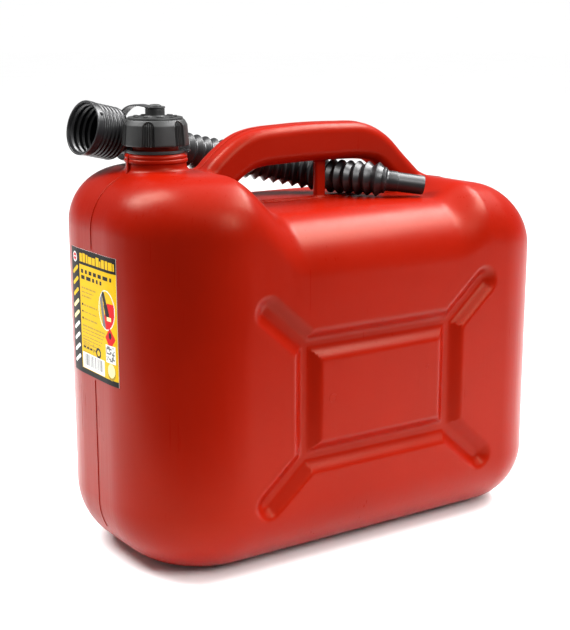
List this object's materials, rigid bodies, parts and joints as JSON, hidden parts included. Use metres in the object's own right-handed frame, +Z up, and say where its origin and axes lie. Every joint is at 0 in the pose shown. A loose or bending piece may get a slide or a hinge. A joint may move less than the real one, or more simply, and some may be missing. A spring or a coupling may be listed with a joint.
{
  "type": "plastic fuel can",
  "caption": "Blow-moulded fuel can with a carrying handle, tethered screw cap, front label and a corrugated pouring spout stowed through the handle.",
  "frame": {"origin": "on the ground under the middle of the can", "axes": "+X to the rear, away from the neck; +Y to the side on which the spout is stowed; +Z up"},
  "size_m": [0.405, 0.211, 0.3755],
  "materials": {
    "can_polyethylene": "satin red moulded polyethylene, with a faint vertical drawn texture",
    "black_polyethylene": "satin black moulded polyethylene",
    "seal_rubber": "dull black rubber",
    "label_film": "printed film, yellow and black"
  },
  "bodies": {
    "can": {"can_shell": "can_polyethylene", "front_label": "label_film", "tether_neck_ring": "black_polyethylene", "tether_band": "black_polyethylene"},
    "tether_eye": {"tether_cap_eye": "black_polyethylene"},
    "cap": {"filler_cap": "black_polyethylene", "cap_gasket": "seal_rubber"},
    "spout": {"spout_bellows_front": "black_polyethylene", "spout_bellows_middle": "black_polyethylene", "spout_bellows_rear": "black_polyethylene"},
    "spout_mouth": {"spout_coupling": "black_polyethylene", "spout_gasket": "seal_rubber"},
    "spout_tip": {"spout_nozzle": "black_polyethylene"}
  },
  "joints": [
    {"name": "cap_rise", "type": "slide", "parent": "can", "child": "tether_eye", "axis": [0, 0, 1], "range_m": [0, 0.03001], "deforming": ["tether_band"]},
    {"name": "cap_turn", "type": "hinge", "parent": "tether_eye", "child": "cap", "pos_m": [-0.1428, 0, 0.35], "axis": [0, 0, 1], "range_deg": [0, 1800]},
    {"name": "spout_pull_out", "type": "slide", "parent": "can", "child": "spout", "axis": [-0.4226, 0.9063, 0], "range_m": [0, 0.12]},
    {"name": "spout_mouth_flex", "type": "hinge", "parent": "spout", "child": "spout_mouth", "pos_m": [-0.1355, 0.05297, 0.34277], "axis": [0, 0, -1], "range_deg": [0, 20], "deforming": ["spout_bellows_front"]},
    {"name": "spout_tip_flex", "type": "hinge", "parent": "spout", "child": "spout_tip", "pos_m": [0.05558, -0.02154, 0.30372], "axis": [-0.5949, -0.8038, 0], "range_deg": [0, 25], "deforming": ["spout_bellows_rear"]}
  ],
  "couplings": [
    {"joint": "cap_rise", "follows": "cap_turn", "m_per_rad": 0.00095493}
  ]
}
